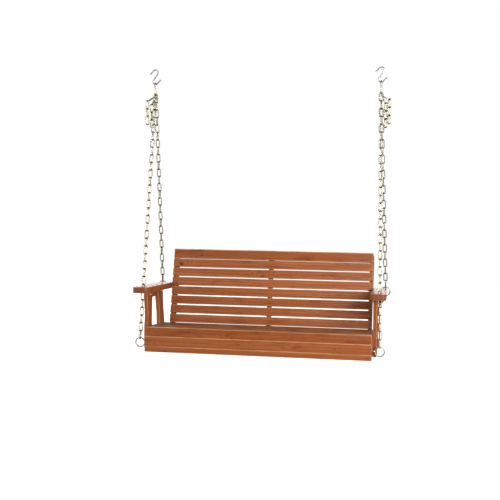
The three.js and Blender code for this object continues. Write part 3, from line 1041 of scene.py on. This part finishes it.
@dataclass
class EyeBolts:
    """The four eye bolts the chains pull on, with their washers and nuts."""

    finishes: Finishes
    body: str = "swing"
    wire: float = 0.0068
    ring_radius: float = 0.0243
    ring_start: float = math.radians(190)
    neck_bend: float = math.radians(80)
    ring_sweep: float = math.radians(328)
    bend_radius: float = 0.009
    thread_length: float = 0.022
    thread_pitch: float = 0.00125
    thread_depth: float = 0.0006
    ring_steps: int = 36
    neck_steps: int = 6
    rub_reach: float = 0.008
    rim_ease: float = 0.0003
    nut_chamfer: float = 0.0007

    def bolt(self, row: str) -> tuple[Piece, Vector]:
        """Bends one right-hand eye bolt.

        Args:
            row: front or rear.

        Returns:
            The bolt and its ring's centre.
        """
        node = f"eye_bolt_{row}_right"
        low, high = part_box(node)
        reach = self.ring_radius + self.wire / 2
        ring = Vector((high[0] - reach, middle_of(node).y, high[2] - reach))
        bend = self.neck_bend
        rise = self.ring_radius * math.sin(self.ring_start) + self.bend_radius * (1 - math.cos(bend))
        bend_x = ring.x + self.ring_radius * math.cos(self.ring_start) - self.bend_radius * math.sin(bend)
        start = Vector((low[0], ring.y, ring.z + rise))
        rod = BentRod(f"bent_{node}", self.wire, start, X_AXIS.copy())
        rod.start()
        rod.thread(self.thread_length, self.thread_pitch, self.thread_depth)
        rod.straight(bend_x - rod.place.x)
        rod.bend(Vector((bend_x, ring.y, start.z - self.bend_radius)), Y_AXIS, bend, self.neck_steps)
        rod.bend(ring, -Y_AXIS, self.ring_sweep, self.ring_steps)
        bolt = rod.finish()
        note_on_points(bolt, "rubbed", lambda place: self.rub_at(place, ring))
        return bolt, ring

    def rub_at(self, place: Vector, ring: Vector) -> float:
        """How much a point of the ring is rubbed by the chain at its top, from 0 to 1."""
        off = (place - ring - Z_AXIS * (self.ring_radius - self.wire / 2)).length
        return max(0.0, 1 - off / self.rub_reach)

    def washer(self, node: str) -> Piece:
        """Turns a washer: a disc, bored through, with eased rims.

        Args:
            node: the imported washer.

        Returns:
            The washer.
        """
        low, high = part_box(node)
        radius = (high[1] - low[1]) / 2
        quarter = (0, math.pi / 2, 0)
        bpy.ops.object.select_all(action="DESELECT")
        bpy.ops.mesh.primitive_cylinder_add(
            vertices=32, radius=radius, depth=high[0] - low[0], location=middle_of(node), rotation=quarter
        )
        disc = take("turned_" + node)
        with shaping(disc, "FACE"):
            pick_faces(disc, lambda face: abs(face.normal.x) > FLAT_ON)
            bpy.ops.mesh.inset(thickness=radius - self.wire / 2 - self.rim_ease)
            bpy.ops.mesh.bridge_edge_loops()
        ease = disc.modifiers.new("eased rim", "BEVEL")
        ease.width = self.rim_ease
        ease.segments = 2
        select_only(disc)
        bpy.ops.object.modifier_apply(modifier=ease.name)
        smooth(disc)
        return disc

    def nut(self, node: str) -> Piece:
        """Cuts a hexagon nut with chamfered corners and a bored middle.

        Args:
            node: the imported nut.

        Returns:
            The nut.
        """
        low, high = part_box(node)
        across_flats = min(high[1] - low[1], high[2] - low[2])
        height = high[0] - low[0]
        quarter = (0, math.pi / 2, 0)
        bpy.ops.object.select_all(action="DESELECT")
        bpy.ops.mesh.primitive_cylinder_add(
            vertices=6,
            radius=across_flats / math.sqrt(3),
            depth=height,
            location=middle_of(node),
            rotation=quarter,
        )
        block = take("cut_" + node)
        with shaping(block, "FACE"):
            pick_faces(block, lambda face: abs(face.normal.x) > FLAT_ON)
            bpy.ops.mesh.bevel(offset=self.nut_chamfer, segments=2, affect="EDGES")
            pick_faces(block, lambda face: abs(face.normal.x) > 0.99)
            bpy.ops.mesh.inset(thickness=across_flats / 2 - self.wire / 2 - 0.0008)
            bpy.ops.mesh.bridge_edge_loops()
        smooth(block, 25)
        return block

    def build(self) -> dict[str, Vector]:
        """Makes every eye bolt, washer and nut, and mirrors the right-hand ones to the left.

        Returns:
            The right-hand ring centres, by row.
        """
        rings = {}
        mirror = Matrix.Scale(-1, 4, X_AXIS)
        for row in ("front", "rear"):
            bolt, rings[row] = self.bolt(row)
            fittings = [(bolt, f"eye_bolt_{row}"), (self.washer(f"washer_{row}_right"), f"washer_{row}")]
            fittings.append((self.nut(f"nut_{row}_right"), f"nut_{row}"))
            if row == "rear":
                fittings.append((self.nut("nut_rear_outer_right"), "nut_rear_outer"))
            for piece, node in fittings:
                if "rubbed" not in piece.data.attributes:
                    note_on_points(piece, "rubbed", lambda place: 0.0)
                twin = copied(piece, piece.name.replace("_right", "_left"), mirror)
                hand_over(piece, self.body, Slot.ZINC, self.finishes.zinc, node + "_right")
                hand_over(twin, self.body, Slot.ZINC, self.finishes.zinc, node + "_left")
        return rings


@dataclass
class WireLink:
    """A welded oval link, lying along X with its width along Y."""

    wire: float
    width: float
    inside_length: float
    turns: int = 16
    sides: int = 8

    def forge(self, name: str) -> Piece:
        """Makes the link: a ring pulled long, with a weld bead on one side.

        Args:
            name: the link's name.

        Returns:
            The link, at the origin.
        """
        radius = (self.width - self.wire) / 2
        pull = (self.inside_length + self.wire) / 2 - radius
        bpy.ops.object.select_all(action="DESELECT")
        bpy.ops.mesh.primitive_torus_add(
            major_segments=self.turns,
            minor_segments=self.sides,
            major_radius=radius,
            minor_radius=self.wire / 2,
            rotation=(0, 0, math.pi / self.turns),
        )
        link = take(name)
        with shaping(link):
            for way in (-1, 1):
                pick_points(link, lambda place: place.x * way > 0)
                bpy.ops.transform.translate(value=(way * pull, 0, 0))
            self.add_weld(link, radius)
        note_on_points(link, "rubbed", lambda place: self.rub_at(place, pull))
        smooth(link, 60)
        return link

    def add_weld(self, link: Piece, radius: float) -> None:
        """Raises a bead round the middle of one long side.

        Args:
            link: the link, in edit mode.
            radius: from the link's middle line to its wire's.
        """
        bpy.ops.mesh.select_mode(type="EDGE")
        mesh = bmesh.from_edit_mesh(link.data)
        bpy.ops.mesh.select_all(action="DESELECT")
        for edge in mesh.edges:
            ends = [point.co for point in edge.verts]
            edge.select = ends[0].x * ends[1].x < 0 and ends[0].y > 0
        bmesh.update_edit_mesh(link.data)
        bpy.ops.mesh.subdivide(number_cuts=5)
        bpy.ops.mesh.select_mode(type="VERT")
        pick_points(link, lambda place: abs(place.x) < self.wire / 5 and place.y > 0)
        bpy.ops.transform.resize(value=(0.5, 1.16, 1.16), center_override=(0, radius, 0))

    def rub_at(self, place: Vector, pull: float) -> float:
        """How much a point is rubbed inside the link's ends, from 0 to 1."""
        past = max(0.0, abs(place.x) - pull)
        return min(1.0, past / (self.width * 0.30)) ** 2.5


def link_stands(middle: Vector, along: Vector, across: Vector) -> Matrix:
    """Places a link.

    Args:
        middle: the link's middle.
        along: the way its length goes.
        across: about the way its width goes.

    Returns:
        The matrix that takes a link from the origin.
    """
    length = along.normalized()
    width = (across - length * across.dot(length)).normalized()
    turn = Matrix((length, width, length.cross(width))).transposed().to_4x4()
    return Matrix.Translation(middle) @ turn


@dataclass
class Chains:
    """The four welded chains, the two links they gather in, and the four loose tails."""

    finishes: Finishes
    rings: dict[str, Vector]
    wire: float = 0.006
    link_width: float = 0.024
    link_counts: dict[str, int] = field(default_factory=lambda: {"front": 32, "rear": 26})
    eye_wire: float = 0.0068
    eye_radius: float = 0.0243
    gather_wire: float = 0.007
    gather_width: float = 0.034
    side_by_side: float = 0.006
    saddle_rise: float = 0.0014
    wander: float = math.radians(7)
    wander_rate: float = 1.7
    tail_aside: float = 0.0035
    tail_below: float = 0.013
    tail_links: int = 3
    body: str = "swing"

    def gather_link(self, side: str) -> Piece:
        """Makes the long link that hangs in an S-hook and holds both chains of its side.

        Args:
            side: left or right.

        Returns:
            The link.
        """
        node = f"top_link_{side}"
        low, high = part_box(node)
        inside = high[2] - low[2] - 2 * self.gather_wire
        plan = WireLink(self.gather_wire, self.gather_width, inside, turns=28, sides=12)
        pattern = plan.forge("gather_link_pattern")
        link = copied(pattern, "forged_" + node, link_stands(middle_of(node), Z_AXIS, Y_AXIS))
        discard(pattern)
        return hand_over(link, self.body, Slot.ZINC, self.finishes.zinc, node)

    def chain(self, row: str) -> tuple[Piece, Vector, float]:
        """Links up one right-hand chain from its eye bolt to the gathering link.

        Args:
            row: front or rear.

        Returns:
            The chain, the middle of its last link, and one link's pitch.
        """
        side = -1 if row == "front" else 1
        ring_top = self.rings[row] + Z_AXIS * self.eye_radius
        low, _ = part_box("top_link_right")
        gather = middle_of("top_link_right")
        saddle = low[2] + self.gather_wire / 2 + self.saddle_rise
        end = Vector((gather.x, gather.y + side * self.side_by_side, saddle))
        along = end - ring_top
        hook_low = (self.eye_wire + self.wire) / 2
        hook_high = (self.gather_wire + self.wire) / 2
        count = self.link_counts[row]
        pitch = (along.length + hook_low + hook_high - self.wire) / count
        along.normalize()
        pattern = WireLink(self.wire, self.link_width, pitch).forge("chain_link_pattern")
        first = ring_top + along * ((pitch + self.wire) / 2 - hook_low)
        links = []
        for number in range(count):
            turn = number * math.pi / 2
            stray = self.wander * math.sin(self.wander_rate * number)
            turn += stray * math.sin(math.pi * number / (count - 1))
            across = Matrix.Rotation(turn, 3, along) @ X_AXIS.cross(along)
            middle = first + along * pitch * number
            links.append(copied(pattern, f"link_{number}", link_stands(middle, along, across)))
        discard(pattern)
        return joined(links, f"linked_chain_{row}_right"), first + along * pitch * (count - 1), pitch

    def tail(self, row: str, last: Vector, pitch: float) -> tuple[Piece, Piece]:
        """Links up the spare links that go on past a right-hand chain's last link.

        Args:
            row: front or rear.
            last: the middle of that link.
            pitch: one link's pitch.

        Returns:
            The first spare link, which lies on the last link, and the loose tail that hangs from it.
        """
        side = -1 if row == "front" else 1
        hang = middle_of(f"chain_tail_{row}_right")
        pattern = WireLink(self.wire, self.link_width, pitch).forge("tail_link_pattern")
        out = (self.link_width - self.wire) / 2 - self.wire
        hold = last + Vector((out, side * self.tail_aside, pitch / 2 - self.tail_below))
        reach = pitch + self.wire
        run = Vector((hang.x - hold.x, hang.y - hold.y, 0))
        drop = math.sqrt(reach**2 - run.length**2)
        lean = Vector((run.x, run.y, -drop)).normalized()
        lying = copied(pattern, "lying_link", link_stands(hold + lean * reach / 2, lean, Y_AXIS))
        links = []
        top = hold + lean * reach + Z_AXIS * self.wire
        top = Vector((hang.x, hang.y, top.z))
        for number in range(self.tail_links):
            middle = top - Z_AXIS * (reach / 2 + pitch * number)
            across = Vector((1, 1 if number % 2 else -1, 0))
            links.append(copied(pattern, f"tail_link_{number}", link_stands(middle, Z_AXIS, across)))
        discard(pattern)
        return lying, joined(links, f"linked_chain_tail_{row}_right")

    def build(self) -> None:
        """Makes the chains and tails of the right side and mirrors them to the left."""
        mirror = Matrix.Scale(-1, 4, X_AXIS)
        for side in ("left", "right"):
            self.gather_link(side)
        for row in ("front", "rear"):
            chain, last, pitch = self.chain(row)
            lying, tail = self.tail(row, last, pitch)
            chain = joined([chain, lying], chain.name)
            for piece, node in ((chain, f"chain_{row}"), (tail, f"chain_tail_{row}")):
                loose = piece is tail
                twin = copied(piece, piece.name.replace("_right", "_left"), mirror)
                for one, side in ((piece, "right"), (twin, "left")):
                    body = f"{node}_{side}" if loose else self.body
                    hand_over(one, body, Slot.ZINC, self.finishes.zinc, f"{node}_{side}")


@dataclass
class SHooks:
    """The two open S-hooks that the swing hangs from."""

    finishes: Finishes
    wire: float = 0.007
    bend_radius: float = 0.014
    centres: float = 0.050
    leg: float = 0.028
    leg_angle: float = math.radians(45)
    bend_steps: int = 18
    rub: float = 0.7
    rub_reach: float = 0.009
    body: str = "hooks"

    def bend_one(self, side: str) -> Piece:
        """Bends one hook: leg, open bend, slanting middle, the same bend the other way, leg.

        Args:
            side: left or right.

        Returns:
            The hook.
        """
        node = f"s_hook_{side}"
        middle = middle_of(node)
        half = self.centres / 2
        heading = Vector((math.cos(self.leg_angle), 0, math.sin(self.leg_angle)))
        outward = Vector((-math.sin(self.leg_angle), 0, math.cos(self.leg_angle)))
        high = middle + Z_AXIS * half
        low = middle - Z_AXIS * half
        start = high + outward * self.bend_radius - heading * self.leg
        slant = math.acos(self.bend_radius / half) - math.pi / 2
        bend = math.pi / 2 + self.leg_angle - slant
        rod = BentRod("bent_" + node, self.wire, start, heading, sides=16)
        rod.start()
        rod.straight(self.leg - rod.tip)
        rod.bend(high, Y_AXIS, bend, self.bend_steps)
        rod.straight(2 * math.sqrt(half**2 - self.bend_radius**2))
        rod.bend(low, -Y_AXIS, bend, self.bend_steps)
        rod.straight(self.leg - rod.tip)
        hook = rod.finish()
        rest = low - Z_AXIS * (self.bend_radius - self.wire / 2)

        def rub_at(place: Vector) -> float:
            return self.rub * max(0.0, 1 - (place - rest).length / self.rub_reach)

        note_on_points(hook, "rubbed", rub_at)
        return hand_over(hook, self.body, Slot.STEEL, self.finishes.steel, node)

    def build(self) -> None:
        """Bends both hooks."""
        for side in ("left", "right"):
            self.bend_one(side)


# ------------------------------------------------------------------ studio


@dataclass
class Studio:
    """A plain pale floor, soft light and the camera."""

    floor_drop: float = 0.45
    floor_size: float = 80.0
    camera_place: Triple = (0.9012, -5.1652, -0.4614)
    camera_yaw: float = math.radians(-10.797)
    camera_pitch: float = math.radians(-5.530)
    camera_roll: float = math.radians(0.216)
    camera_lens: float = 69.87
    sky_low: float = 0.20
    sky_high: float = 0.42
    floor_glow: float = 0.82

    def floor(self) -> None:
        """Lays the floor."""
        bpy.ops.object.select_all(action="DESELECT")
        height = CAD_BOX[0][2] - self.floor_drop
        bpy.ops.mesh.primitive_plane_add(size=self.floor_size, location=(0, 0, height))
        floor = take("studio_floor")
        material, shade, shader = start_material("pale_studio_floor")
        shader.inputs["Base Color"].default_value = (0.45, 0.45, 0.45, 1)
        shader.inputs["Roughness"].default_value = 0.9
        shader.inputs["Emission Color"].default_value = (1, 1, 1, 1)
        path = shade.add("LightPath")
        glow = shade.math("MULTIPLY", path.outputs["Is Camera Ray"], self.floor_glow)
        shade.feed(shader.inputs["Emission Strength"], glow)
        floor.data.materials.append(material)

    def sky(self) -> None:
        """Makes a white surround that gives a softer light from below than from above."""
        world = bpy.data.worlds.new("white_surround")
        bpy.context.scene.world = world
        world.use_nodes = True
        shade = Shade(world.node_tree)
        shader = world.node_tree.nodes["Background"]
        coordinates = shade.add("TexCoord")
        parts = shade.add("SeparateXYZ")
        shade.feed(parts.inputs[0], coordinates.outputs["Generated"])
        soft = shade.span(parts.outputs[2], -0.4, 0.9, self.sky_low, self.sky_high)
        path = shade.add("LightPath")
        strength = shade.math("MAXIMUM", soft, path.outputs["Is Camera Ray"])
        shade.feed(shader.inputs["Strength"], strength)
        shader.inputs["Color"].default_value = (1, 1, 1, 1)

    def lamp(
        self, name: str, place: Triple, target: Triple, size: tuple[float, float], power: float
    ) -> None:
        """Hangs a soft box.

        Args:
            name: the lamp's name.
            place: where it hangs.
            target: what it points at.
            size: its width and height.
            power: its power in watts.
        """
        data = bpy.data.lights.new(name, "AREA")
        data.shape = "RECTANGLE"
        data.size, data.size_y = size
        data.energy = power
        lamp = bpy.data.objects.new(name, data)
        lamp.location = place
        lamp.visible_camera = False
        lamp.rotation_euler = (Vector(target) - Vector(place)).to_track_quat("-Z", "Y").to_euler()
        bpy.context.collection.objects.link(lamp)

    def camera(self) -> None:
        """Sets up the camera in front, a little to the right of the swing and above its seat."""
        yaw, pitch = self.camera_yaw, self.camera_pitch
        forward = Vector((math.sin(yaw) * math.cos(pitch), math.cos(yaw) * math.cos(pitch), math.sin(pitch)))
        level = Vector((math.cos(yaw), -math.sin(yaw), 0))
        up = level.cross(forward)
        right = level * math.cos(self.camera_roll) + up * math.sin(self.camera_roll)
        upward = right.cross(forward)
        data = bpy.data.cameras.new("portrait_camera")
        data.lens = self.camera_lens
        data.sensor_width = 36.0
        data.clip_end = 200.0
        camera = bpy.data.objects.new("portrait_camera", data)
        turn = Matrix((right, upward, -forward)).transposed().to_4x4()
        camera.matrix_world = Matrix.Translation(self.camera_place) @ turn
        bpy.context.collection.objects.link(camera)
        bpy.context.scene.camera = camera

    def build(self) -> None:
        """Sets up the whole studio."""
        self.floor()
        self.sky()
        seat = (0.0, 0.0, -1.2)
        self.lamp("key_softbox", (2.6, -3.6, 0.0), seat, (2.4, 1.8), 172.0)
        self.lamp("left_softbox", (-3.4, -2.8, -0.6), seat, (2.2, 1.8), 40.0)
        self.lamp("top_softbox", (0.2, 0.2, 2.2), seat, (2.4, 1.6), 14.0)
        self.lamp("back_softbox", (-0.8, 5.4, -0.45), (0.0, 0.0, -1.0), (5.5, 1.0), 85.0)
        self.camera()
        bpy.context.scene.view_settings.view_transform = "Standard"


def main() -> None:
    """Builds the looks of the whole swing, in the order a maker would put it together."""
    logging.basicConfig(level=logging.INFO, format="%(name)s: %(message)s")
    finishes = Finishes()
    Boards(finishes).build()
    Screws(finishes).build()
    rings = EyeBolts(finishes).build()
    Chains(finishes, rings).build()
    SHooks(finishes).build()
    Studio().build()


if __name__ == "__main__":
    main()
